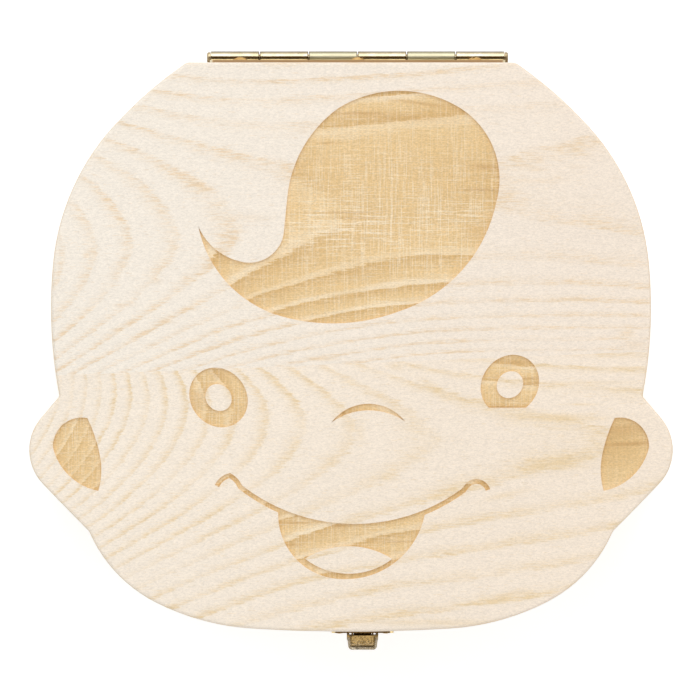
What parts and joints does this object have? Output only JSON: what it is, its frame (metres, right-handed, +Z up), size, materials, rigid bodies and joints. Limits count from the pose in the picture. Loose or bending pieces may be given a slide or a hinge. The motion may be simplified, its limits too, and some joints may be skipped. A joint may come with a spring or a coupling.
{
  "type": "baby tooth box",
  "caption": "Wooden keepsake box in the shape of a smiling baby's head, with a hinged lid, a snap latch, wells for milk teeth and covered compartments.",
  "frame": {"origin": "on the underside of the base, at the middle of the bounding box of the closed box with its hinge and latch", "axes": "+X to the right of someone who faces the latch, +Y towards the hinge, +Z up through the lid"},
  "size_m": [0.1218, 0.1138, 0.0299],
  "materials": {
    "base_wood": "bare, finely sanded",
    "lid_rear_wood": "bare, finely sanded",
    "lid_front_wood": "bare, finely sanded",
    "cover_wood": "bare, finely sanded",
    "hinge_brass": "thin plating, slightly dull",
    "screw_brass": "thin plating, bright on the domes",
    "latch_brass": "thin plating, bright on the bends",
    "nail_brass": "thin plating, bright on the domes",
    "pin_steel": "drawn wire, lightly plated"
  },
  "bodies": {
    "base": {"base_block": "base_wood", "hinge_base_leaf": "hinge_brass", "hinge_base_screws": "screw_brass", "hinge_pin": "pin_steel", "latch_base_plate": "latch_brass", "latch_pin": "pin_steel", "latch_base_nails": "nail_brass"},
    "lid": {"lid_rear_board": "lid_rear_wood", "lid_front_board": "lid_front_wood", "hinge_lid_leaf": "hinge_brass", "hinge_lid_screws": "screw_brass", "catch_plate": "latch_brass", "catch_nails": "nail_brass"},
    "lever": {"latch_lever": "latch_brass"},
    "upper_cover": {"upper_compartment_cover": "cover_wood"},
    "lower_cover": {"lower_compartment_cover": "cover_wood"}
  },
  "joints": [
    {"name": "lid_hinge", "type": "hinge", "parent": "base", "child": "lid", "pos_m": [0.0012, 0.05575, 0.02015], "axis": [-1, 0, 0], "range_deg": [0, 180]},
    {"name": "latch_pivot", "type": "hinge", "parent": "base", "child": "lever", "pos_m": [0.0021, -0.05505, 0.01555], "axis": [1, 0, 0], "range_deg": [0, 150]},
    {"name": "upper_cover_lift", "type": "slide", "parent": "base", "child": "upper_cover", "axis": [0, 0, 1], "range_m": [0, 0.0055]},
    {"name": "lower_cover_lift", "type": "slide", "parent": "base", "child": "lower_cover", "axis": [0, 0, 1], "range_m": [0, 0.0055]}
  ]
}
